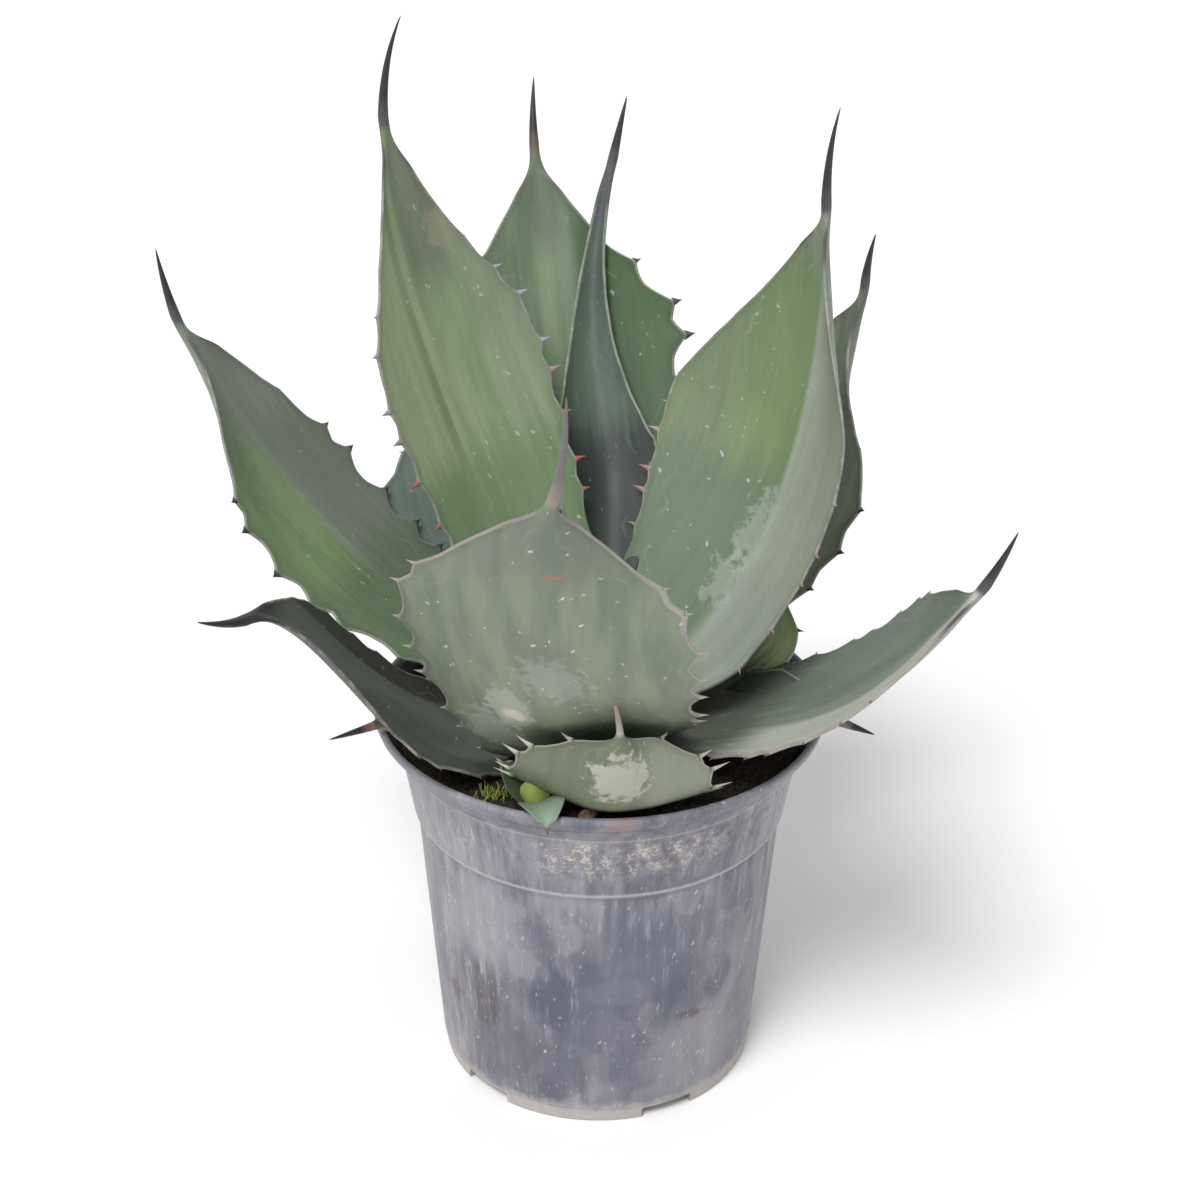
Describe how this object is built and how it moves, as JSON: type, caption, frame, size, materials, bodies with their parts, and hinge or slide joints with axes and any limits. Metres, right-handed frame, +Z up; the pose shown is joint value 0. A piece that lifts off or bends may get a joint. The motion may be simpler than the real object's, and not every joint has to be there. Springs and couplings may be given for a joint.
{
  "type": "potted agave",
  "caption": "Broad-leaved agave rosette with toothed margins and terminal spines, rooted in a round tapered plastic nursery pot of soil.",
  "frame": {"origin": "centre of the pot's underside, on the surface that it stands on", "axes": "+Z up along the pot's axis, +X to the right and -Y towards the side that the front leaf faces"},
  "size_m": [0.3669, 0.3868, 0.4823],
  "materials": {
    "pot": "weathered and dusty",
    "soil": "crumbly",
    "stem": "matte",
    "leaf": "waxy, with a pale bloom",
    "pup": "waxy",
    "pebble": "rough"
  },
  "bodies": {
    "root": {"pot": "pot", "stem": "stem", "leaf_centre_spear": "leaf", "leaf_tall_left": "leaf", "leaf_tall_right": "leaf", "leaf_back_centre": "leaf", "leaf_upper_left": "leaf", "leaf_mid_left": "leaf", "leaf_right_back": "leaf", "leaf_front_shield": "leaf", "leaf_low_right_back": "leaf", "leaf_lower_right": "leaf", "leaf_lower_left": "leaf", "leaf_front_small": "leaf", "leaf_low_left": "leaf", "leaf_low_right": "leaf", "leaf_low_back": "leaf", "leaf_low_back_left": "leaf", "pup": "pup", "pebble": "pebble", "soil": "soil"}
  },
  "joints": []
}
